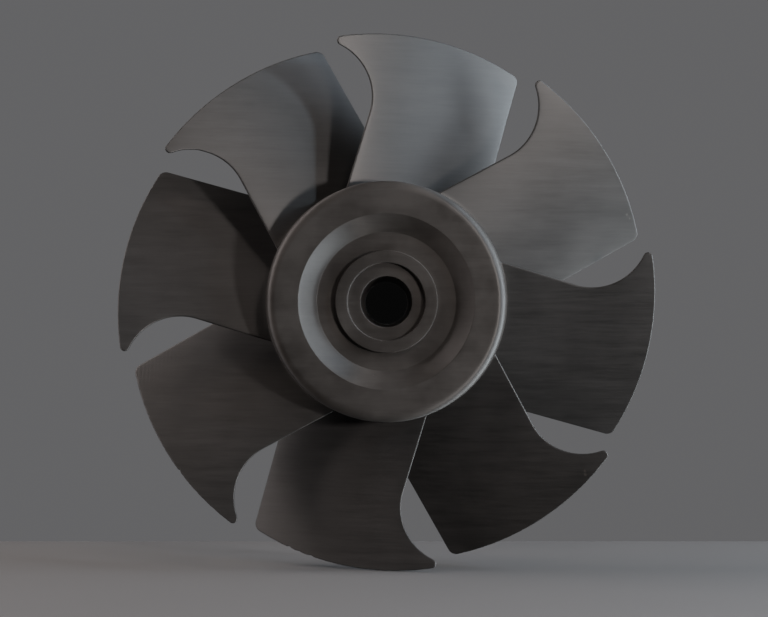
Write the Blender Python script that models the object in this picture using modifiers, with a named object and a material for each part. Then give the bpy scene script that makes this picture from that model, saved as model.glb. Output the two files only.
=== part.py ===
"""Axial-flow fan impeller: eight swept blades on a dished hub with a boss and a tapered bore.

The axis of rotation is Y. The front, with the dish and the forward tips of the blades, faces
-Y, and +Z is up as it stands. The origin is on the axis, in the plane of the hub's back edge.
Angles run clockwise from +Z as seen from the front. Heights are measured forwards from the
back plane, so a height h is at y = -h.
"""

import math

import bmesh
import bpy
from mathutils import Vector

# Overall, in metres
TIP_RADIUS = 0.370
HUB_RADIUS = 0.1645
HUB_HEIGHT = 0.168
BLADE_COUNT = 8
GAP = 0.0003

# Hub, as turned sections
WALL = 0.010
WEB = 0.008
EDGE_ROUND = 0.014
DISH_RADIUS = 0.120
FLOOR_RADIUS = 0.0955
FLOOR_HEIGHT = 0.144
BOSS_RADIUS = 0.070
BOSS_HEIGHT = 0.154
COUNTERBORE_RADIUS = 0.0535
BORE_FRONT_RADIUS = 0.035
BORE_BACK_RADIUS = 0.030
CHAMFER = 0.0015
ROUND_STEPS = 5
TURNED_STEPS = 64
MERGE_DISTANCE = 0.00005

# Ribs behind the dish
RIB_COUNT = 8
RIB_THICKNESS = 0.006
RIB_INNER_SETBACK = 0.020
RIB_OUTER_SETBACK = 0.040

# Blade outline as seen from the front: two nearly parallel edges that lean clockwise, the
# leading one ending in a sickle and a blunt forward tip
LEADING_LEAN = math.radians(17.0)
LEADING_OFFSET = 0.0988
SICKLE_RADIUS = 0.0755
HORN_ANGLE = math.radians(-9.7)
HORN_RADIUS = 0.0065
TRAILING_LEAN = math.radians(15.5)
TRAILING_OFFSET = 0.0956
CORNER_RADIUS = 0.012

# Blade section: pitch at the trailing edge, camber and thickness
TRAILING_HEIGHT = 0.010
ROOT_PITCH = math.radians(36.0)
TIP_PITCH = math.radians(34.0)
TWIST_POWER = 2.2
CAMBER = 0.55
ROOT_CHORD_ANGLE = math.radians(70.0)
TIP_CHORD_ANGLE = math.radians(41.0)
ROOT_THICKNESS = 0.0075
TIP_THICKNESS = 0.0042
EDGE_THICKNESS = 0.0028
ROOT_GAP = 0.0006
BLADE_ROWS = 12
TIP_ROWS = 4
BLADE_COLUMNS = 12
NORMAL_STEP = 1e-4
SHARP_ANGLE = math.radians(40)

# Black plastic, as linear colours
PLASTIC = (0.030, 0.029, 0.029)
HUB_PLASTIC = (0.034, 0.032, 0.031)
BLADE_ROUGHNESS = 0.38
HUB_ROUGHNESS = 0.42
RIB_ROUGHNESS = 0.50


def clear_scene():
    for obj in list(bpy.data.objects):
        bpy.data.objects.remove(obj, do_unlink=True)


def new_collection(name):
    collection = bpy.data.collections.new(name)
    bpy.context.scene.collection.children.link(collection)
    return collection


def new_material(name, color, roughness):
    material = bpy.data.materials.new(name)
    material.use_nodes = True
    shader = material.node_tree.nodes["Principled BSDF"]
    shader.inputs["Base Color"].default_value = (*color, 1.0)
    shader.inputs["Roughness"].default_value = roughness
    shader.inputs["Metallic"].default_value = 0.0
    return material


def add_object(name, mesh, collection):
    obj = bpy.data.objects.new(name, mesh)
    collection.objects.link(obj)
    return obj


def turned(name, profile, collection):
    """A ring turned round the axis from a closed (radius, height) profile, which runs down
    its outer side."""
    mesh = bpy.data.meshes.new(name)
    points = [(radius, 0.0, height) for radius, height in profile]
    edges = [(i, (i + 1) % len(points)) for i in range(len(points))]
    mesh.from_pydata(points, edges, [])
    mesh.materials.append(new_material(name, HUB_PLASTIC, HUB_ROUGHNESS))
    obj = add_object(name, mesh, collection)
    obj.rotation_euler.x = math.pi / 2
    screw = obj.modifiers.new("turn", "SCREW")
    screw.steps = TURNED_STEPS
    screw.render_steps = TURNED_STEPS
    screw.use_merge_vertices = True
    screw.merge_threshold = MERGE_DISTANCE
    screw.use_smooth_shade = True
    return obj


def hub_wall(collection):
    """The outer band, whose front edge is rounded over into the face."""
    inner = HUB_RADIUS - WALL
    lip = HUB_RADIUS - EDGE_ROUND
    profile = [(inner, 0.0), (inner, HUB_HEIGHT - WEB), (lip, HUB_HEIGHT - WEB)]
    for i in range(ROUND_STEPS + 1):
        a = math.pi / 2 * i / ROUND_STEPS
        radius = lip + EDGE_ROUND * math.sin(a)
        height = HUB_HEIGHT - EDGE_ROUND + EDGE_ROUND * math.cos(a)
        profile.append((radius, height))
    profile.append((HUB_RADIUS, 0.0))
    return turned("hub_wall", profile, collection)


def hub_face(collection):
    """The flat ring at the front, inside the rounded edge."""
    inner = DISH_RADIUS + GAP
    outer = HUB_RADIUS - EDGE_ROUND - GAP
    profile = [
        (outer, HUB_HEIGHT),
        (outer, HUB_HEIGHT - WEB),
        (inner, HUB_HEIGHT - WEB),
        (inner, HUB_HEIGHT),
    ]
    return turned("hub_face", profile, collection)


def recess_cone(collection):
    """The cone from the flat ring down to the recess floor."""
    profile = [
        (DISH_RADIUS, HUB_HEIGHT),
        (DISH_RADIUS, HUB_HEIGHT - WEB),
        (FLOOR_RADIUS, FLOOR_HEIGHT - WEB),
        (FLOOR_RADIUS, FLOOR_HEIGHT),
    ]
    return turned("recess_cone", profile, collection)


def recess_floor(collection):
    """The flat floor of the recess, round the boss."""
    inner = BOSS_RADIUS + GAP
    outer = FLOOR_RADIUS - GAP
    profile = [
        (outer, FLOOR_HEIGHT),
        (outer, FLOOR_HEIGHT - WEB),
        (inner, FLOOR_HEIGHT - WEB),
        (inner, FLOOR_HEIGHT),
    ]
    return turned("recess_floor", profile, collection)


def hub_boss(collection):
    """The boss that stands in the recess, with its counterbore."""
    profile = [
        (COUNTERBORE_RADIUS + CHAMFER, BOSS_HEIGHT),
        (BOSS_RADIUS - CHAMFER, BOSS_HEIGHT),
        (BOSS_RADIUS, BOSS_HEIGHT - CHAMFER),
        (BOSS_RADIUS, 0.0),
        (COUNTERBORE_RADIUS, 0.0),
        (COUNTERBORE_RADIUS, BOSS_HEIGHT - CHAMFER),
    ]
    return turned("hub_boss", profile, collection)


def bore_sleeve(collection):
    """The sleeve in the boss. Its front face is the counterbore's floor, and its bore tapers."""
    outer = COUNTERBORE_RADIUS - GAP
    profile = [
        (BORE_FRONT_RADIUS + CHAMFER, FLOOR_HEIGHT),
        (outer, FLOOR_HEIGHT),
        (outer, 0.0),
        (BORE_BACK_RADIUS, 0.0),
        (BORE_FRONT_RADIUS, FLOOR_HEIGHT - CHAMFER),
    ]
    return turned("bore_sleeve", profile, collection)


def rib_mesh():
    """A flat radial rib behind the dish, from the boss to the wall."""
    inner = BOSS_RADIUS + GAP
    outer = HUB_RADIUS - WALL - GAP
    outline = [
        (inner, RIB_INNER_SETBACK),
        (outer, RIB_OUTER_SETBACK),
        (outer, HUB_HEIGHT - WEB - GAP),
        (DISH_RADIUS, HUB_HEIGHT - WEB - GAP),
        (FLOOR_RADIUS, FLOOR_HEIGHT - WEB - GAP),
        (inner, FLOOR_HEIGHT - WEB - GAP),
    ]
    form = bmesh.new()
    half = RIB_THICKNESS / 2
    corners = [form.verts.new((-half, -height, radius)) for radius, height in outline]
    side = form.faces.new(corners)
    pulled = bmesh.ops.extrude_face_region(form, geom=[side])
    moved = [item for item in pulled["geom"] if isinstance(item, bmesh.types.BMVert)]
    bmesh.ops.translate(form, vec=(RIB_THICKNESS, 0.0, 0.0), verts=moved)
    bmesh.ops.recalc_face_normals(form, faces=form.faces)
    mesh = bpy.data.meshes.new("web_rib")
    form.to_mesh(mesh)
    form.free()
    return mesh


def web_ribs(collection):
    mesh = rib_mesh()
    mesh.materials.append(new_material("web_rib", HUB_PLASTIC, RIB_ROUGHNESS))
    for i in range(RIB_COUNT):
        rib = add_object(f"web_rib_{i + 1}", mesh, collection)
        rib.rotation_euler.y = 2 * math.pi * i / RIB_COUNT


def angle_on_circle(radius, centre_radius, centre_angle, circle_radius, side):
    """The angle at which the circle at this radius round the axis meets another circle."""
    top = radius**2 + centre_radius**2 - circle_radius**2
    cosine = top / (2 * radius * centre_radius)
    return centre_angle + side * math.acos(max(-1.0, min(1.0, cosine)))


def sickle():
    """The centre of the leading edge's hollow, as radius and angle, and the two radii at
    which it meets the straight edge and the forward tip."""
    along = Vector((math.sin(LEADING_LEAN), math.cos(LEADING_LEAN)))
    across = Vector((-along.y, along.x))
    horn = (TIP_RADIUS - HORN_RADIUS) * Vector((math.sin(HORN_ANGLE), math.cos(HORN_ANGLE)))
    reach = SICKLE_RADIUS + HORN_RADIUS
    start = across * (LEADING_OFFSET + SICKLE_RADIUS)
    back = (start - horn).dot(along)
    travel = -back - math.sqrt(back**2 - (start - horn).length_squared + reach**2)
    centre = start + travel * along
    straight_end = across * LEADING_OFFSET + travel * along
    touch = horn + (centre - horn) * (HORN_RADIUS / reach)
    return centre.length, math.atan2(centre.x, centre.y), straight_end.length, touch.length


def leading_angle(radius):
    centre_radius, centre_angle, straight_end, horn_start = sickle()
    if radius < straight_end:
        return LEADING_LEAN - math.asin(LEADING_OFFSET / radius)
    if radius < horn_start:
        return angle_on_circle(radius, centre_radius, centre_angle, SICKLE_RADIUS, 1)
    return angle_on_circle(radius, TIP_RADIUS - HORN_RADIUS, HORN_ANGLE, HORN_RADIUS, -1)


def trailing_corner():
    """The centre of the trailing corner's round, as radius and angle, and the radius at
    which the round begins."""
    centre_radius = TIP_RADIUS - CORNER_RADIUS
    offset = TRAILING_OFFSET - CORNER_RADIUS
    along = math.sqrt(centre_radius**2 - offset**2)
    centre_angle = TRAILING_LEAN + math.asin(offset / centre_radius)
    return centre_radius, centre_angle, math.hypot(along, TRAILING_OFFSET)


def trailing_angle(radius):
    centre_radius, centre_angle, corner_start = trailing_corner()
    if radius < corner_start:
        return TRAILING_LEAN + math.asin(TRAILING_OFFSET / radius)
    return angle_on_circle(radius, centre_radius, centre_angle, CORNER_RADIUS, 1)


def span_share(radius):
    """0 at the hub and 1 at the tip."""
    return (radius - HUB_RADIUS) / (TIP_RADIUS - HUB_RADIUS)


def blade_height(radius, angle):
    """How far forward the blade's middle surface is. It is steepest at the trailing edge."""
    share = span_share(radius)
    root, tip = math.tan(ROOT_PITCH), math.tan(TIP_PITCH)
    slope = tip + (root - tip) * (1 - share) ** TWIST_POWER
    chord = ROOT_CHORD_ANGLE + (TIP_CHORD_ANGLE - ROOT_CHORD_ANGLE) * share
    ahead = TRAILING_LEAN + math.asin(TRAILING_OFFSET / radius) - angle
    return TRAILING_HEIGHT + radius * slope * ahead * (1 - CAMBER * ahead / (2 * chord))


def blade_point(radius, angle):
    return Vector(
        (radius * math.sin(angle), -blade_height(radius, angle), radius * math.cos(angle))
    )


def blade_normal(radius, angle):
    """The direction that faces forwards out of the blade."""
    inwards = max(radius - NORMAL_STEP, HUB_RADIUS)
    outwards = min(radius + NORMAL_STEP, TIP_RADIUS)
    along = blade_point(outwards, angle) - blade_point(inwards, angle)
    round_axis = blade_point(radius, angle + NORMAL_STEP) - blade_point(radius, angle - NORMAL_STEP)
    return along.cross(round_axis).normalized()


def blade_thickness(share, chord_share):
    """Thickest at the root and mid-chord, thin at the two long edges."""
    body = ROOT_THICKNESS + (TIP_THICKNESS - ROOT_THICKNESS) * share
    return EDGE_THICKNESS + (body - EDGE_THICKNESS) * math.sqrt(4 * chord_share * (1 - chord_share))


def held_within(point, radius):
    """The point moved along its own radius, back to the given distance from the axis."""
    scale = radius / math.hypot(point.x, point.z)
    return Vector((point.x * scale, point.y, point.z * scale))


def blade_radii():
    """The radii of the rows of points, from the root to the tip, close together in the
    rounded corners."""
    root = HUB_RADIUS + ROOT_GAP
    corner = sickle()[3]
    radii = [root + (corner - root) * i / BLADE_ROWS for i in range(BLADE_ROWS)]
    for i in range(TIP_ROWS + 1):
        radii.append(corner + (TIP_RADIUS - corner) * math.sin(math.pi / 2 * i / TIP_ROWS))
    return radii


def blade_mesh():
    """A twisted, cambered plate, lofted between its outline's two long edges."""
    form = bmesh.new()
    sides = {1: [], -1: []}
    for radius in blade_radii():
        start, end = leading_angle(radius), trailing_angle(radius)
        rows = {1: [], -1: []}
        for i in range(BLADE_COLUMNS + 1):
            chord_share = i / BLADE_COLUMNS
            angle = start + (end - start) * chord_share
            normal = blade_normal(radius, angle)
            thickness = blade_thickness(span_share(radius), chord_share)
            for side, row in rows.items():
                offset = normal * (side * thickness / 2)
                point = held_within(blade_point(radius, angle) + offset, radius)
                row.append(form.verts.new(point))
        for side, row in rows.items():
            sides[side].append(row)
    front, back = sides[1], sides[-1]
    for rows in (front, back):
        for inner, outer in zip(rows, rows[1:]):
            for i in range(BLADE_COLUMNS):
                form.faces.new((inner[i], inner[i + 1], outer[i + 1], outer[i]))
    close_rim(form, [front[0], back[0]])
    close_rim(form, [front[-1], back[-1]])
    close_rim(form, [[row[0] for row in rows] for rows in (front, back)])
    close_rim(form, [[row[-1] for row in rows] for rows in (front, back)])
    bmesh.ops.recalc_face_normals(form, faces=form.faces)
    mesh = bpy.data.meshes.new("blade")
    form.to_mesh(mesh)
    form.free()
    mesh.shade_smooth()
    mesh.set_sharp_from_angle(angle=SHARP_ANGLE)
    return mesh


def close_rim(form, edges):
    """The narrow faces between the same edge of the front and of the back."""
    first, second = edges
    for i in range(len(first) - 1):
        form.faces.new((first[i], first[i + 1], second[i + 1], second[i]))


def blades(collection):
    mesh = blade_mesh()
    mesh.materials.append(new_material("blade", PLASTIC, BLADE_ROUGHNESS))
    for i in range(BLADE_COUNT):
        blade = add_object(f"blade_{i + 1}", mesh, collection)
        blade.rotation_euler.y = 2 * math.pi * i / BLADE_COUNT


def main():
    clear_scene()
    collection = new_collection("impeller")
    hub_wall(collection)
    hub_face(collection)
    recess_cone(collection)
    recess_floor(collection)
    hub_boss(collection)
    bore_sleeve(collection)
    web_ribs(collection)
    blades(collection)


main()
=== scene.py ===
"""Looks of an axial fan impeller: black moulded plastic, finely lined, with worn blade tips.

The axis of rotation is Y and the front faces -Y. Angles run clockwise from +Z as seen from the
front, and heights are measured forwards from the hub's back plane, so a height h is at y = -h.
In the tables below, blades are counted clockwise from 0, the one at the top.
"""

import math

import bmesh
import bpy
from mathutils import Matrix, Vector, noise


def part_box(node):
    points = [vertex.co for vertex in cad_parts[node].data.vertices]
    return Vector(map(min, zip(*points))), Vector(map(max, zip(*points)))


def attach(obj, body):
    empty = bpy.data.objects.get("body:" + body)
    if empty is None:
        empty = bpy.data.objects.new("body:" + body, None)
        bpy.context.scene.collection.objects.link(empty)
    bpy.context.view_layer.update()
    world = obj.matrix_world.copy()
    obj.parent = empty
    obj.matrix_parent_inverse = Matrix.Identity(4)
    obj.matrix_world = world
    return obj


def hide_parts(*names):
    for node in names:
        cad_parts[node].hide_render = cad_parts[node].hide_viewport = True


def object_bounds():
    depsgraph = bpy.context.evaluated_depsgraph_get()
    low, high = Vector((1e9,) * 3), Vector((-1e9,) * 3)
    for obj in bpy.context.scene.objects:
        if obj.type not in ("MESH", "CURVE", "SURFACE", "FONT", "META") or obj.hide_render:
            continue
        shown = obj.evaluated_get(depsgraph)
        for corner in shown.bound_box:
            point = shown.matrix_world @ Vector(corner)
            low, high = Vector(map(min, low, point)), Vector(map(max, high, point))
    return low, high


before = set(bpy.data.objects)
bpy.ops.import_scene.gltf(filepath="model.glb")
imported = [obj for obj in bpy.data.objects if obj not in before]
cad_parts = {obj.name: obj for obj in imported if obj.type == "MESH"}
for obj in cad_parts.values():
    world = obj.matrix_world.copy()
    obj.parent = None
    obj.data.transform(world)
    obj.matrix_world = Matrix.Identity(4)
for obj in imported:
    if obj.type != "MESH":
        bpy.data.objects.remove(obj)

CAD_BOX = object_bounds()

# From the frame, in metres
WALL_LOW, WALL_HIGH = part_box("hub_wall")
FACE_LOW, FACE_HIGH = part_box("hub_face")
RECESS_LOW, RECESS_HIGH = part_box("recess_floor")
BOSS_LOW, BOSS_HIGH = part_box("hub_boss")
RIB_LOW, RIB_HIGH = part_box("web_rib_1")
TIP_RADIUS = CAD_BOX[1].z
HUB_RADIUS = WALL_HIGH.z
HUB_HEIGHT = -WALL_LOW.y
RECESS_RADIUS = RECESS_HIGH.z
RECESS_HEIGHT = -RECESS_LOW.y
BOSS_RADIUS = BOSS_HIGH.z
BOSS_HEIGHT = -BOSS_LOW.y
COUNTERBORE_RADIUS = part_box("bore_sleeve")[1].z
WEB = FACE_HIGH.y - FACE_LOW.y
RIB_THICKNESS = RIB_HIGH.x - RIB_LOW.x
BLADE_COUNT = 8
RIB_COUNT = 8

# The hub's turned section
HUB_NODES = ("hub_wall", "hub_face", "recess_cone", "recess_floor", "hub_boss", "bore_sleeve")
WALL = 0.010
EDGE_ROUND = 0.014
DISH_RADIUS = 0.120
BORE_FRONT_RADIUS = 0.035
BORE_BACK_RADIUS = 0.030
FINE_ROUND = 0.0008
BOSS_ROUND = 0.0012
ROUND_STEPS = 6
EDGE_ROUND_STEPS = 14
TURNED_STEPS = 288
SECTION_STEP = 0.006

# The ribs behind the dish, sunk a little into what they join
RIB_INNER_SETBACK = 0.020
RIB_OUTER_SETBACK = 0.040
RIB_SINK = 0.001
RIB_SHARP_ANGLE = math.radians(50.0)
BEVEL_STEPS = 3

# The blade's outline and section, as the solids have them
LEADING_LEAN = math.radians(17.0)
LEADING_OFFSET = 0.0988
SICKLE_RADIUS = 0.0755
HORN_ANGLE = math.radians(-9.7)
HORN_RADIUS = 0.0065
TRAILING_LEAN = math.radians(15.5)
TRAILING_OFFSET = 0.0956
CORNER_RADIUS = 0.012
TRAILING_HEIGHT = 0.010
ROOT_PITCH = math.radians(36.0)
TIP_PITCH = math.radians(34.0)
TWIST_POWER = 2.2
CAMBER = 0.55
ROOT_CHORD_ANGLE = math.radians(70.0)
TIP_CHORD_ANGLE = math.radians(41.0)
ROOT_THICKNESS = 0.0075
TIP_THICKNESS = 0.0042
EDGE_THICKNESS = 0.0028
NORMAL_STEP = 1e-4

# The finer grid of the blade's skin
ROOT_SINK = 0.0012
ROOT_FILLET = 0.0035
FILLET_ROWS = 5
BLADE_ROWS = 44
TIP_ROWS = 16
BLADE_COLUMNS = 144
EDGE_ROWS = 4
WELD = 2e-6

# Nicks in the tips: blade, middle and half width along the tip in degrees, and depth
TIP_NICKS = (
    (4, 16.6, 0.9, 0.0011),
    (4, 19.3, 0.7, 0.0008),
    (4, 21.6, 0.8, 0.0013),
    (5, 5.8, 0.5, 0.0016),
    (0, -5.5, 0.5, 0.0007),
    (0, 0.8, 0.4, 0.0006),
)

# Ragged wear of the tips, from coarse and fine noise with these steps a degree and a blade
WEAR_REACH = 0.006
TIP_RAGGED = 0.00035
TIP_RAGGED_LEVEL = 0.35
COARSE_NOISE = (1.9, 7.3)
FINE_NOISE = (5.3, 3.1)
FINE_NOISE_SHARE = 0.6
FINE_NOISE_LAYER = 5.0

# Ragged wear beside one blade's forward tip, from noise with these steps a metre
RAGGED_BLADE = 7
HORN_RAGGED = 0.0009
HORN_RAGGED_LEVEL = 0.5
HORN_WEAR_LENGTH = 0.035
HORN_NOISE = 420.0
HORN_NOISE_LAYER = 3.0

# Photograph's view: the lens in pixels of a 768 x 617 frame, and the sensor in millimetres
FRAME_WIDTH = 768
FOCAL_PIXELS = 2494
SENSOR = 36.0
CAMERA_PLACE = Vector((0.0, -3.552, -0.045))
CAMERA_TARGET = Vector((-0.0033, -0.168, -0.0096))

# The plastic of the blades and of the hub. Streaks is the streaks' share of the variation,
# against the clouds', and depth is their relief. Spread blurs the gloss across the streaks
BLADE_FINISH = {
    "dark": (0.015, 0.015, 0.015, 1.0),
    "light": (0.026, 0.0255, 0.0255, 1.0),
    "rough": 0.45,
    "streaks": 0.6,
    "depth": 0.00003,
    "spread": 0.72,
}
HUB_FINISH = {
    "dark": (0.0172, 0.0158, 0.0148, 1.0),
    "light": (0.0362, 0.0338, 0.0322, 1.0),
    "rough": 0.50,
    "streaks": 0.3,
    "depth": 0.000007,
    "spread": 0.88,
}
PLASTIC_SPECULAR = 0.40

# Variation of the plastic. Streaks are noise with these steps a metre along X, Y and Z, and a
# range is the part of the noise over which the colour or the gloss changes
CLOUD_SCALE = 11.0
FINE_STREAKS = (24.0, 24.0, 430.0)
BROAD_STREAKS = (9.0, 9.0, 95.0)
BROAD_RELIEF = 4
COLOR_RANGE = (0.40, 0.60)
GLOSS_RANGE = (0.38, 0.62)
GLOSS_CHANGE = 0.03
GRAIN_SCALE = 800.0
GRAIN_RANGE = (0.3, 0.7)
GRAIN_GLOSS = 0.02
GRAIN_DEPTH = 0.000006

# Ripples on one blade, at full depth at the trailing edge and towards the tip. The wave
# period is that of a wave texture with a scale of 1
RIPPLED_BLADE = 5
RIPPLE_PITCH = 0.0055
RIPPLE_DEPTH = 0.00004
RIPPLE_REACH = 0.045
RIPPLE_FULL_REACH = 0.009
RIPPLE_START = 0.235
RIPPLE_FULL_START = 0.33
RIPPLE_LEAST = 0.25
RIPPLE_STRETCH = (1.0, 0.15, 0.15)
RIPPLE_DISTORTION = 1.2
WAVE_PERIOD = math.pi / 10

# Scuffs. A mark on the hub is its centre and its radius, and one on a blade is the blade, the
# place across and up, and the radius. It has full strength in its core
MARK_CORE = 0.4
SCUFF_SHARE = 0.8
SCUFF_COLOR = (0.04, 0.037, 0.035, 1.0)
SCUFF_DEPTH = 0.00012
HUB_MARKS = (
    ((-0.0169, -0.1500, -0.1001), 0.0022),
    ((0.0292, -0.1540, -0.0448), 0.0016),
    ((-0.0064, -0.1540, -0.0531), 0.0016),
    ((0.0130, -0.1540, -0.0688), 0.0018),
    ((0.0185, -0.1540, -0.0675), 0.0013),
)
BLADE_MARKS = (
    (3, 0.2724, -0.2320, 0.0024),
    (3, 0.2732, -0.2370, 0.0026),
    (1, 0.3395, 0.1245, 0.0026),
    (1, 0.3440, 0.1190, 0.0020),
)

# The slab that is the floor
SLAB_DROP = 0.0006
SLAB_BACK = 0.385
SLAB_FRONT = -1.3
SLAB_HALF_WIDTH = 1.2
SLAB_THICKNESS = 0.012
SLAB_ROUND = 0.004
SLAB_CLOUDS = 1.5
SLAB_DARK = (0.134, 0.134, 0.135, 1.0)
SLAB_LIGHT = (0.145, 0.145, 0.146, 1.0)
SLAB_ROUGHNESS = 0.65

# The backdrop and the glow that it throws on the part. Going from 0, in line with the hub's
# back plane, to 1, straight behind it, the glow rises over one range and falls over the other
BACKDROP_GREY = (0.126, 0.126, 0.130, 1.0)
GLOW_GREY = (0.06, 0.06, 0.06, 1.0)
ROOM_GREY = (0.005, 0.005, 0.005, 1.0)
SHADE_GREY = (0.002, 0.002, 0.002, 1.0)
GLOW_RISE = (0.0, 0.12)
GLOW_FALL = (0.35, 0.65)

# Straight behind the bore the backdrop is painted dark, a painted shadow of the hub, out to the
# first radius, and is clear of it at the second. They are distances between directions of length 1
PAINTED_SHADOW_DIRECTION = -CAMERA_PLACE.normalized()
PAINTED_SHADOW_EDGE = (0.0115, 0.0150)

LIGHT_DISTANCE = 2.6


def link(obj):
    bpy.context.scene.collection.objects.link(obj)
    return obj


def mesh_object(name, form, material):
    """An object of this bmesh, in one material. The bmesh is used up."""
    mesh = bpy.data.meshes.new(name)
    form.to_mesh(mesh)
    form.free()
    mesh.materials.append(material)
    return link(bpy.data.objects.new(name, mesh))


def dress(piece, nodes):
    """The piece stands for these CAD nodes: it hangs from the root body, and they are hidden."""
    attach(piece, "root")
    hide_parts(*nodes)


def turn_about_axis(form, angle):
    """Turns the points clockwise, as seen from the front."""
    for vert in form.verts:
        x, z = vert.co.x, vert.co.z
        vert.co.x = x * math.cos(angle) + z * math.sin(angle)
        vert.co.z = z * math.cos(angle) - x * math.sin(angle)


# Materials

class Nodes:
    """The nodes of a material or a world, with short calls to add and feed them. What feeds
    an input is either a fixed value or another node's output."""

    def __init__(self, owner, shader):
        owner.use_nodes = True
        self.owner = owner
        self.tree = owner.node_tree
        self.shader = self.tree.nodes[shader]

    def feed(self, node, inputs):
        for key, value in inputs.items():
            if isinstance(value, bpy.types.NodeSocket):
                self.tree.links.new(value, node.inputs[key])
            else:
                node.inputs[key].default_value = value

    def add(self, kind, inputs, **settings):
        node = self.tree.nodes.new(kind)
        for key, value in settings.items():
            setattr(node, key, value)
        self.feed(node, inputs)
        return node

    def place(self):
        """Coordinates of the object, which are the part's own, in metres."""
        return self.add("ShaderNodeTexCoord", {}).outputs["Object"]

    def stretched(self, place, scale):
        inputs = {"Vector": place, "Scale": scale}
        return self.add("ShaderNodeMapping", inputs).outputs["Vector"]

    def noise(self, place, scale=1.0, detail=3.0, roughness=0.5):
        inputs = {"Vector": place, "Scale": scale, "Detail": detail, "Roughness": roughness}
        return self.add("ShaderNodeTexNoise", inputs).outputs["Fac"]

    def ranged(self, value, low, high, to_low=0.0, to_high=1.0):
        """The value carried from one range to another, and kept within that."""
        inputs = {
            "Value": value, "From Min": low, "From Max": high, "To Min": to_low, "To Max": to_high
        }
        return self.add("ShaderNodeMapRange", inputs).outputs["Result"]

    def math(self, operation, first, second):
        inputs = {0: first, 1: second}
        return self.add("ShaderNodeMath", inputs, operation=operation).outputs["Value"]

    def vector_math(self, operation, place, vector):
        """The distance between a place and a fixed vector, or their dot product."""
        inputs = {0: place, 1: vector}
        return self.add("ShaderNodeVectorMath", inputs, operation=operation).outputs["Value"]

    def mix(self, share, first, second):
        """The first colour where the share is 0, and the second where it is 1."""
        node = self.add("ShaderNodeMix", {"Factor": share}, data_type="RGBA")
        colors = [i for i, socket in enumerate(node.inputs) if socket.type == "RGBA"]
        self.feed(node, dict(zip(colors, (first, second))))
        return next(socket for socket in node.outputs if socket.type == "RGBA")

    def bump(self, height, distance, normal=None):
        inputs = {"Height": height, "Distance": distance, "Strength": 1.0}
        if normal is not None:
            inputs["Normal"] = normal
        return self.add("ShaderNodeBump", inputs).outputs["Normal"]


def scuffs(nodes, place, marks):
    """Soft round marks, each a centre and a radius: 1 in their cores and 0 outside them."""
    total = 0.0
    for centre, radius in marks:
        distance = nodes.vector_math("DISTANCE", place, centre)
        mark = nodes.ranged(distance, radius * MARK_CORE, radius, 1.0, 0.0)
        total = nodes.math("MAXIMUM", total, mark)
    return total


def ripples(nodes, place):
    """Upright ripples below the trailing edge of one blade, fading away from the edge."""
    turn = 2 * math.pi * RIPPLED_BLADE / BLADE_COUNT + TRAILING_LEAN
    edge_normal = (math.cos(turn), 0.0, -math.sin(turn))
    edge_direction = (math.sin(turn), 0.0, math.cos(turn))
    across = nodes.vector_math("DOT_PRODUCT", place, edge_normal)
    behind = nodes.math("SUBTRACT", across, TRAILING_OFFSET)
    near = nodes.ranged(behind, -RIPPLE_REACH, -RIPPLE_FULL_REACH)
    out = nodes.vector_math("DOT_PRODUCT", place, edge_direction)
    outer = nodes.ranged(out, RIPPLE_START, RIPPLE_FULL_START, RIPPLE_LEAST, 1.0)
    inputs = {
        "Vector": nodes.stretched(place, RIPPLE_STRETCH),
        "Scale": WAVE_PERIOD / RIPPLE_PITCH,
        "Distortion": RIPPLE_DISTORTION,
        "Detail": 1.0,
        "Detail Scale": 3.0,
    }
    wave = nodes.add("ShaderNodeTexWave", inputs, wave_type="BANDS", bands_direction="X")
    return nodes.math("MULTIPLY", wave.outputs["Fac"], nodes.math("MULTIPLY", near, outer))


def plastic(name, dark, light, rough, streaks, depth, spread, marks=(), rippled=False):
    """Satin black plastic with level streaks: cloudy colour and gloss, faint relief and grain,
    and scuffs at the marks. The gloss spreads upwards and downwards, across the streaks."""
    nodes = Nodes(bpy.data.materials.new(name), "Principled BSDF")
    place = nodes.place()
    cloud = nodes.noise(place, CLOUD_SCALE, detail=4.0, roughness=0.6)
    fine = nodes.noise(nodes.stretched(place, FINE_STREAKS), roughness=0.6)
    broad = nodes.noise(nodes.stretched(place, BROAD_STREAKS), roughness=0.55)
    grain = nodes.noise(place, GRAIN_SCALE, detail=2.0, roughness=0.6)
    both = nodes.math("MULTIPLY", nodes.math("ADD", fine, broad), streaks / 2)
    share = nodes.math("ADD", nodes.math("MULTIPLY", cloud, 1 - streaks), both)
    color = nodes.mix(nodes.ranged(share, *COLOR_RANGE), dark, light)
    gloss = nodes.ranged(share, *GLOSS_RANGE, rough - GLOSS_CHANGE, rough + GLOSS_CHANGE)
    grain_gloss = nodes.ranged(grain, *GRAIN_RANGE, -GRAIN_GLOSS, GRAIN_GLOSS)
    normal = nodes.bump(fine, depth)
    normal = nodes.bump(broad, depth * BROAD_RELIEF, normal)
    normal = nodes.bump(grain, GRAIN_DEPTH, normal)
    if rippled:
        normal = nodes.bump(ripples(nodes, place), RIPPLE_DEPTH, normal)
    if marks:
        scuffed = scuffs(nodes, place, marks)
        color = nodes.mix(nodes.math("MULTIPLY", scuffed, SCUFF_SHARE), color, SCUFF_COLOR)
        normal = nodes.bump(scuffed, -SCUFF_DEPTH, normal)
    nodes.feed(nodes.shader, {
        "Base Color": color,
        "Roughness": nodes.math("ADD", gloss, grain_gloss),
        "Specular IOR Level": PLASTIC_SPECULAR,
        "Anisotropic": spread,
        "Tangent": nodes.add("ShaderNodeCombineXYZ", {"Z": 1.0}).outputs["Vector"],
        "Normal": normal,
    })
    return nodes.owner


# The hub

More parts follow.
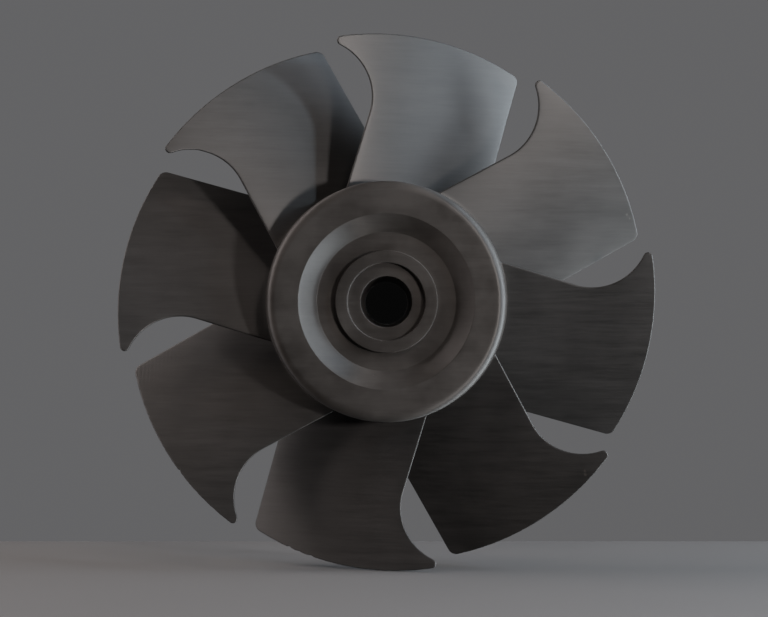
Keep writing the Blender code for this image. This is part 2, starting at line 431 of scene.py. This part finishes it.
def corner(before, point, after, radius, steps):
    """Points of an arc of this radius in place of a corner of the section."""
    to_before = (before - point).normalized()
    to_after = (after - point).normalized()
    half = to_before.angle(to_after) / 2
    reach = radius / math.tan(half)
    centre = point + (to_before + to_after).normalized() * (radius / math.sin(half))
    start = point + to_before * reach - centre
    end = point + to_after * reach - centre
    sweep = start.angle(end)
    arc = []
    for i in range(steps + 1):
        t = i / steps
        along = (math.sin((1 - t) * sweep) * start + math.sin(t * sweep) * end) / math.sin(sweep)
        arc.append(centre + along)
    return arc


def rounded_section(corners):
    """A closed section from (radius, height, round, steps) corners, with points along its
    long straight runs too."""
    points = [Vector((radius, height)) for radius, height, _, _ in corners]
    section = []
    for i, (_, _, radius, steps) in enumerate(corners):
        before, after = points[i - 1], points[(i + 1) % len(points)]
        section.append(corner(before, points[i], after, radius, steps))
    filled = []
    for arc, following in zip(section, section[1:] + section[:1]):
        filled.extend(arc)
        run = following[0] - arc[-1]
        count = int(run.length / SECTION_STEP)
        filled.extend(arc[-1] + run * (k / (count + 1)) for k in range(1, count + 1))
    return filled


def hub_section():
    """The hub in one section: front from the rim to the bore, then the open back."""
    fine, steps = FINE_ROUND, ROUND_STEPS
    inner_wall = HUB_RADIUS - WALL
    return rounded_section([
        (HUB_RADIUS, 0.0, fine, steps),
        (HUB_RADIUS, HUB_HEIGHT, EDGE_ROUND, EDGE_ROUND_STEPS),
        (DISH_RADIUS, HUB_HEIGHT, BOSS_ROUND, steps),
        (RECESS_RADIUS, RECESS_HEIGHT, BOSS_ROUND, steps),
        (BOSS_RADIUS, RECESS_HEIGHT, fine, steps),
        (BOSS_RADIUS, BOSS_HEIGHT, BOSS_ROUND, steps),
        (COUNTERBORE_RADIUS, BOSS_HEIGHT, BOSS_ROUND, steps),
        (COUNTERBORE_RADIUS, RECESS_HEIGHT, fine, steps),
        (BORE_FRONT_RADIUS, RECESS_HEIGHT, BOSS_ROUND, steps),
        (BORE_BACK_RADIUS, 0.0, fine, steps),
        (BOSS_RADIUS, 0.0, fine, steps),
        (BOSS_RADIUS, RECESS_HEIGHT - WEB, ROOT_FILLET, steps),
        (RECESS_RADIUS, RECESS_HEIGHT - WEB, BOSS_ROUND, steps),
        (DISH_RADIUS, HUB_HEIGHT - WEB, BOSS_ROUND, steps),
        (inner_wall, HUB_HEIGHT - WEB, ROOT_FILLET, steps),
        (inner_wall, 0.0, fine, steps),
    ])


def hub_shell(material):
    """One smooth turned body for the wall, face, cone, recess floor, boss and sleeve."""
    form = bmesh.new()
    section = hub_section()
    rings = []
    for i in range(TURNED_STEPS):
        angle = 2 * math.pi * i / TURNED_STEPS
        ring = [
            form.verts.new((p.x * math.sin(angle), -p.y, p.x * math.cos(angle))) for p in section
        ]
        rings.append(ring)
    for ring, following in zip(rings, rings[1:] + rings[:1]):
        for j in range(len(section)):
            k = (j + 1) % len(section)
            face = form.faces.new((ring[j], following[j], following[k], ring[k]))
            face.smooth = True
    bmesh.ops.recalc_face_normals(form, faces=form.faces)
    dress(mesh_object("hub_shell", form, material), HUB_NODES)


def rib_outline():
    """Corners of a rib's side, as radius and height."""
    inner, outer = BOSS_RADIUS - RIB_SINK, HUB_RADIUS - WALL + RIB_SINK
    under_face = HUB_HEIGHT - WEB + RIB_SINK
    under_recess = RECESS_HEIGHT - WEB + RIB_SINK
    return [
        (inner, RIB_INNER_SETBACK),
        (outer, RIB_OUTER_SETBACK),
        (outer, under_face),
        (DISH_RADIUS, under_face),
        (RECESS_RADIUS, under_recess),
        (inner, under_recess),
    ]


def ribs(material):
    """The eight ribs in the open back, with softened free edges."""
    for k in range(RIB_COUNT):
        form = bmesh.new()
        corners = [form.verts.new((-RIB_THICKNESS / 2, -h, r)) for r, h in rib_outline()]
        pulled = bmesh.ops.extrude_face_region(form, geom=[form.faces.new(corners)])
        moved = [item for item in pulled["geom"] if isinstance(item, bmesh.types.BMVert)]
        bmesh.ops.translate(form, vec=(RIB_THICKNESS, 0.0, 0.0), verts=moved)
        bmesh.ops.recalc_face_normals(form, faces=form.faces)
        bmesh.ops.bevel(
            form, geom=form.edges, offset=FINE_ROUND, segments=BEVEL_STEPS, affect="EDGES"
        )
        turn_about_axis(form, 2 * math.pi * k / RIB_COUNT)
        rib = mesh_object(f"rib_{k + 1}", form, material)
        rib.data.shade_smooth()
        rib.data.set_sharp_from_angle(angle=RIB_SHARP_ANGLE)
        dress(rib, [f"web_rib_{k + 1}"])


# The blades

def angle_on_circle(radius, centre_radius, centre_angle, circle_radius, side):
    """The angle at which the circle at this radius round the axis meets another circle."""
    top = radius**2 + centre_radius**2 - circle_radius**2
    cosine = top / (2 * radius * centre_radius)
    return centre_angle + side * math.acos(max(-1.0, min(1.0, cosine)))


def sickle():
    """The centre of the leading edge's hollow, as radius and angle, and the two radii at
    which it meets the straight edge and the forward tip."""
    along = Vector((math.sin(LEADING_LEAN), math.cos(LEADING_LEAN)))
    across = Vector((-along.y, along.x))
    horn = (TIP_RADIUS - HORN_RADIUS) * Vector((math.sin(HORN_ANGLE), math.cos(HORN_ANGLE)))
    reach = SICKLE_RADIUS + HORN_RADIUS
    start = across * (LEADING_OFFSET + SICKLE_RADIUS)
    back = (start - horn).dot(along)
    travel = -back - math.sqrt(back**2 - (start - horn).length_squared + reach**2)
    centre = start + travel * along
    straight_end = across * LEADING_OFFSET + travel * along
    touch = horn + (centre - horn) * (HORN_RADIUS / reach)
    return centre.length, math.atan2(centre.x, centre.y), straight_end.length, touch.length


SICKLE_CENTRE_RADIUS, SICKLE_CENTRE_ANGLE, SICKLE_START, HORN_START = sickle()


def leading_angle(radius):
    if radius < SICKLE_START:
        return LEADING_LEAN - math.asin(LEADING_OFFSET / radius)
    if radius < HORN_START:
        return angle_on_circle(
            radius, SICKLE_CENTRE_RADIUS, SICKLE_CENTRE_ANGLE, SICKLE_RADIUS, 1
        )
    return angle_on_circle(radius, TIP_RADIUS - HORN_RADIUS, HORN_ANGLE, HORN_RADIUS, -1)


def trailing_angle(radius):
    centre_radius = TIP_RADIUS - CORNER_RADIUS
    offset = TRAILING_OFFSET - CORNER_RADIUS
    along = math.sqrt(centre_radius**2 - offset**2)
    if radius < math.hypot(along, TRAILING_OFFSET):
        return TRAILING_LEAN + math.asin(TRAILING_OFFSET / radius)
    centre_angle = TRAILING_LEAN + math.asin(offset / centre_radius)
    return angle_on_circle(radius, centre_radius, centre_angle, CORNER_RADIUS, 1)


def span_share(radius):
    """0 at the hub and 1 at the tip."""
    return max(0.0, (radius - HUB_RADIUS) / (TIP_RADIUS - HUB_RADIUS))


def blade_height(radius, angle):
    """How far forward the blade's middle surface is. It is steepest at the trailing edge."""
    share = span_share(radius)
    root, tip = math.tan(ROOT_PITCH), math.tan(TIP_PITCH)
    slope = tip + (root - tip) * (1 - share) ** TWIST_POWER
    chord = ROOT_CHORD_ANGLE + (TIP_CHORD_ANGLE - ROOT_CHORD_ANGLE) * share
    ahead = TRAILING_LEAN + math.asin(TRAILING_OFFSET / radius) - angle
    return TRAILING_HEIGHT + radius * slope * ahead * (1 - CAMBER * ahead / (2 * chord))


def blade_point(radius, angle):
    height = blade_height(radius, angle)
    return Vector((radius * math.sin(angle), -height, radius * math.cos(angle)))


def blade_normal(radius, angle):
    """The direction that faces forwards out of the blade."""
    inwards = radius - NORMAL_STEP
    outwards = min(radius + NORMAL_STEP, TIP_RADIUS)
    along = blade_point(outwards, angle) - blade_point(inwards, angle)
    round_axis = blade_point(radius, angle + NORMAL_STEP) - blade_point(radius, angle - NORMAL_STEP)
    return along.cross(round_axis).normalized()


def fillet(radius):
    """How far the fillet at the hub stands out from the blade at this radius."""
    off_hub = max(0.0, radius - HUB_RADIUS)
    if off_hub >= ROOT_FILLET:
        return 0.0
    return ROOT_FILLET - math.sqrt(ROOT_FILLET**2 - (ROOT_FILLET - off_hub) ** 2)


def half_thickness(radius, chord_share, edge_distance):
    """Half of the blade's thickness: rounded off at its free edges and filleted into the hub."""
    body = ROOT_THICKNESS + (TIP_THICKNESS - ROOT_THICKNESS) * span_share(radius)
    swell = math.sqrt(max(0.0, 4 * chord_share * (1 - chord_share)))
    half = (EDGE_THICKNESS + (body - EDGE_THICKNESS) * swell) / 2
    edge = min(1.0, edge_distance / (EDGE_THICKNESS / 2))
    return half * math.sqrt(1 - (1 - edge) ** 2) + fillet(radius)


def held_within(point, radius):
    """The point moved along its own radius to the given distance from the axis."""
    scale = radius / math.hypot(point.x, point.z)
    return Vector((point.x * scale, point.y, point.z * scale))


def spread_out(start, end, count, edge):
    """Numbers from start to end, closer together within an edge's width of both."""
    close = [edge * (1 - math.cos(math.pi / 2 * i / EDGE_ROWS)) for i in range(EDGE_ROWS)]
    first = [start + c for c in close]
    last = [end - c for c in reversed(close)]
    low, high = start + edge, end - edge
    return first + [low + (high - low) * i / count for i in range(count + 1)] + last


def blade_radii():
    """The radii of the rows of points, closer together in the fillet and at the tip."""
    quarter = math.pi / 2
    radii = [HUB_RADIUS - ROOT_SINK, HUB_RADIUS]
    for i in range(1, FILLET_ROWS + 1):
        radii.append(HUB_RADIUS + ROOT_FILLET * (1 - math.cos(quarter * i / FILLET_ROWS)))
    start = radii[-1]
    for i in range(1, BLADE_ROWS):
        radii.append(start + (HORN_START - start) * i / BLADE_ROWS)
    edge = EDGE_THICKNESS / 2
    last = TIP_RADIUS - edge
    for i in range(TIP_ROWS + 1):
        radii.append(HORN_START + (last - HORN_START) * math.sin(quarter * i / TIP_ROWS))
    for i in range(1, EDGE_ROWS + 1):
        radii.append(last + edge * math.sin(quarter * i / EDGE_ROWS))
    return radii


def blade_columns(radius):
    """The angles of one row's points, with its ends widened by the fillet at the hub."""
    widening = fillet(radius) / radius
    start = leading_angle(radius) - widening
    end = trailing_angle(radius) + widening
    edge = EDGE_THICKNESS / 2 / radius
    return spread_out(start, end, BLADE_COLUMNS, min(edge, (end - start) / 4))


def blade_mark(blade, across, up, radius):
    """The centre, on a blade's front face, and the radius of a mark."""
    angle = math.atan2(across, up) - 2 * math.pi * blade / BLADE_COUNT
    height = blade_height(math.hypot(across, up), angle) + TIP_THICKNESS / 2
    return (across, -height, up), radius


def tip_wear(blade, angle):
    """How far the tip is worn in at this angle of the blade."""
    degrees = math.degrees(angle)
    step, blade_step = COARSE_NOISE
    ragged = noise.noise(Vector((degrees * step, blade * blade_step, 0.0)))
    step, blade_step = FINE_NOISE
    fine = noise.noise(Vector((degrees * step, blade * blade_step, FINE_NOISE_LAYER)))
    ragged += FINE_NOISE_SHARE * fine
    worn = TIP_RAGGED * max(0.0, TIP_RAGGED_LEVEL + ragged)
    for nicked, middle, half, depth in TIP_NICKS:
        if nicked == blade and abs(degrees - middle) < half:
            worn += depth * math.cos((degrees - middle) / half * math.pi / 2) ** 2
    return worn


def horn_wear(blade, radius, along):
    """How far the inner edge of one blade's forward tip is worn back, near that edge."""
    before_horn = HORN_START - radius
    if blade != RAGGED_BLADE or along > WEAR_REACH or not 0 < before_horn < HORN_WEAR_LENGTH:
        return 0.0
    ragged = noise.noise(Vector((radius * HORN_NOISE, HORN_NOISE_LAYER, 0.0)))
    fade = math.sin(before_horn / HORN_WEAR_LENGTH * math.pi) * (1 - along / WEAR_REACH)
    return HORN_RAGGED * max(0.0, HORN_RAGGED_LEVEL + ragged) * fade


def blade_form(blade):
    """The skin of a blade at the top: a fine grid on both sides, welded round its edges."""
    form = bmesh.new()
    grids = {1: [], -1: []}
    for radius in blade_radii():
        angles = blade_columns(radius)
        rows = {1: [], -1: []}
        for angle in angles:
            chord_share = (angle - angles[0]) / (angles[-1] - angles[0])
            along = min(angle - angles[0], angles[-1] - angle) * radius
            half = half_thickness(radius, chord_share, min(along, TIP_RADIUS - radius))
            normal = blade_normal(radius, angle)
            inward = max(0.0, 1 - (TIP_RADIUS - radius) / WEAR_REACH) * tip_wear(blade, angle)
            worn_angle = angle + horn_wear(blade, radius, (angle - angles[0]) * radius) / radius
            middle = blade_point(radius, worn_angle)
            for side, row in rows.items():
                point = held_within(middle + normal * (side * half), radius - inward)
                row.append(form.verts.new(point))
        for side, row in rows.items():
            grids[side].append(row)
    for rows in grids.values():
        for inner, outer in zip(rows, rows[1:]):
            for i in range(len(inner) - 1):
                form.faces.new((inner[i], inner[i + 1], outer[i + 1], outer[i])).smooth = True
    front, back = grids[1][0], grids[-1][0]
    for i in range(len(front) - 1):
        form.faces.new((front[i], front[i + 1], back[i + 1], back[i]))
    bmesh.ops.remove_doubles(form, verts=form.verts, dist=WELD)
    bmesh.ops.recalc_face_normals(form, faces=form.faces)
    return form


def blades(material, rippled_material):
    """The eight blades, each with its own wear and one with ripples."""
    for k in range(BLADE_COUNT):
        form = blade_form(k)
        turn_about_axis(form, 2 * math.pi * k / BLADE_COUNT)
        chosen = rippled_material if k == RIPPLED_BLADE else material
        blade = mesh_object(f"blade_skin_{k + 1}", form, chosen)
        dress(blade, [f"blade_{k + 1}"])


# Floor, backdrop, light and camera

def floor_slab():
    """A plain pale slab whose back edge is where the floor meets the backdrop. Lights that
    stand lower than it shine through it, and the part doesn't mirror it."""
    form = bmesh.new()
    bmesh.ops.create_cube(form, size=1.0)
    top = CAD_BOX[0].z - SLAB_DROP
    for vert in form.verts:
        vert.co.x *= 2 * SLAB_HALF_WIDTH
        vert.co.y = SLAB_BACK if vert.co.y > 0 else SLAB_FRONT
        vert.co.z = top if vert.co.z > 0 else top - SLAB_THICKNESS
    bmesh.ops.bevel(
        form, geom=form.edges, offset=SLAB_ROUND, segments=BEVEL_STEPS, affect="EDGES"
    )
    nodes = Nodes(bpy.data.materials.new("floor"), "Principled BSDF")
    clouds = nodes.noise(nodes.place(), SLAB_CLOUDS)
    color = nodes.mix(clouds, SLAB_DARK, SLAB_LIGHT)
    nodes.feed(nodes.shader, {"Base Color": color, "Roughness": SLAB_ROUGHNESS})
    slab = mesh_object("floor_slab", form, nodes.owner)
    slab.visible_shadow = False
    slab.visible_diffuse = False
    slab.visible_glossy = False


def backdrop():
    """A plain grey backdrop, painted dark straight behind the bore as a painted shadow of the hub.
    It throws its own grey on the part from behind, and only a faint light comes from the room in
    front."""
    nodes = Nodes(bpy.data.worlds.new("backdrop"), "Background")
    bpy.context.scene.world = nodes.owner
    direction = nodes.add("ShaderNodeTexCoord", {}).outputs["Generated"]
    behind = nodes.add("ShaderNodeSeparateXYZ", {"Vector": direction}).outputs["Y"]
    around = nodes.mix(nodes.ranged(behind, *GLOW_RISE), ROOM_GREY, GLOW_GREY)
    around = nodes.mix(nodes.ranged(behind, *GLOW_FALL), around, SHADE_GREY)
    # Seen from the camera, the backdrop has a painted shadow of the hub straight behind the bore
    off = nodes.vector_math("DISTANCE", direction, PAINTED_SHADOW_DIRECTION)
    seen = nodes.mix(nodes.ranged(off, *PAINTED_SHADOW_EDGE), SHADE_GREY, BACKDROP_GREY)
    is_seen = nodes.add("ShaderNodeLightPath", {}).outputs["Is Camera Ray"]
    nodes.feed(nodes.shader, {"Color": nodes.mix(is_seen, around, seen)})


def soft_light(name, off_axis, clock, size, power, tint=(1.0, 1.0, 1.0)):
    """A soft panel that faces the hub, placed by its angle off the axis of rotation and its
    clock angle, as seen from the front. Its size is its width and height."""
    data = bpy.data.lights.new(name, "AREA")
    data.shape = "RECTANGLE"
    data.size, data.size_y = size
    data.energy = power
    data.color = tint
    off_axis, clock = math.radians(off_axis), math.radians(clock)
    away = Vector((
        math.sin(off_axis) * math.sin(clock),
        -math.cos(off_axis),
        math.sin(off_axis) * math.cos(clock),
    ))
    light = link(bpy.data.objects.new(name, data))
    light.location = away * LIGHT_DISTANCE
    light.rotation_euler = (-away).to_track_quat("-Z", "Y").to_euler()


def lights():
    """Broad light from the right, small lamps that cast the blades' shadows, weaker broad
    lights above and to the left, and faint ones behind."""
    soft_light("right_upper", 75, 58, (1.2, 1.2), 34.0, (0.78, 0.88, 1.0))
    soft_light("right_middle", 60, 95, (0.9, 0.9), 12.0, (0.85, 0.92, 1.0))
    soft_light("right_lower", 75, 112, (1.4, 1.4), 44.0, (0.92, 0.99, 1.0))
    soft_light("right_side", 91, 94, (1.8, 2.2), 106.0, (0.84, 0.93, 1.0))
    soft_light("low_side", 92, 128, (1.2, 1.2), 32.0, (0.96, 0.98, 1.0))
    soft_light("key", 54, 65, (0.2, 0.2), 14.0, (0.74, 0.88, 1.0))
    soft_light("high_key", 36, 22, (0.3, 0.3), 8.0, (1.0, 0.84, 0.76))
    soft_light("front_key", 31, 90, (0.2, 0.2), 50.0, (1.0, 0.91, 0.86))
    soft_light("top", 62, 350, (0.9, 0.9), 4.0, (1.0, 0.88, 0.82))
    soft_light("upper_left", 60, 315, (0.9, 0.9), 2.6, (1.0, 0.83, 0.70))
    soft_light("left", 66, 275, (0.9, 0.9), 5.0, (1.0, 0.85, 0.79))
    soft_light("back_left", 90, 304, (1.4, 1.4), 50.0, (1.0, 0.88, 0.84))
    soft_light("left_side", 90, 262, (0.9, 0.9), 7.0, (1.0, 0.94, 0.96))
    soft_light("behind_left", 122, 320, (1.2, 1.2), 5.0)
    soft_light("behind_right", 122, 50, (1.2, 1.2), 5.0)


def camera():
    data = bpy.data.cameras.new("camera")
    data.sensor_width = SENSOR
    data.lens = FOCAL_PIXELS * SENSOR / FRAME_WIDTH
    data.dof.use_dof = False
    view = link(bpy.data.objects.new("camera", data))
    view.location = CAMERA_PLACE
    view.rotation_euler = (CAMERA_TARGET - CAMERA_PLACE).to_track_quat("-Z", "Y").to_euler()
    bpy.context.scene.camera = view


def build():
    bpy.context.scene.view_settings.view_transform = "Standard"
    marks = [blade_mark(*mark) for mark in BLADE_MARKS]
    blade_plastic = plastic("blade_plastic", **BLADE_FINISH, marks=marks)
    rippled_plastic = plastic("rippled_plastic", **BLADE_FINISH, rippled=True)
    hub_plastic = plastic("hub_plastic", **HUB_FINISH, marks=HUB_MARKS)
    hub_shell(hub_plastic)
    ribs(hub_plastic)
    blades(blade_plastic, rippled_plastic)
    floor_slab()
    backdrop()
    lights()
    camera()


build()
